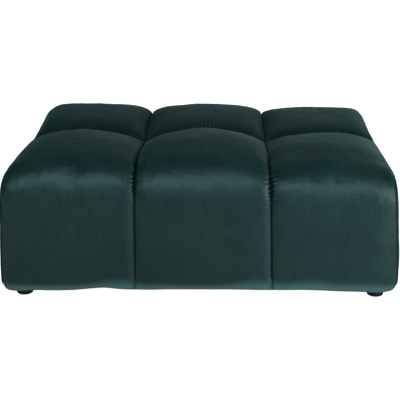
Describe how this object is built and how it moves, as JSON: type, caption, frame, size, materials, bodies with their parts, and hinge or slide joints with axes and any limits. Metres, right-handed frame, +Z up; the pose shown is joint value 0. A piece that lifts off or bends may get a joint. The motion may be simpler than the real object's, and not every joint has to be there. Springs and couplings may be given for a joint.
{
  "type": "rectangular pouf",
  "caption": "Rectangular upholstered pouf with crowned blocks between sewn channels, on short round feet, to rest the feet or sit on.",
  "frame": {"origin": "on the floor, under the middle of the pouf", "axes": "+Z up, +X along the length, to the right seen from the front, +Y towards the back"},
  "size_m": [1.0962, 0.821, 0.4198],
  "materials": {
    "velvet": "short-pile upholstery velvet, dark blue-green, matt with a soft sheen where the surface turns away",
    "foot_plastic": "black moulded plastic, satin"
  },
  "bodies": {
    "root": {"upholstered_body": "velvet", "foot_front_left": "foot_plastic", "foot_front_right": "foot_plastic", "foot_back_left": "foot_plastic", "foot_back_right": "foot_plastic"}
  },
  "joints": []
}
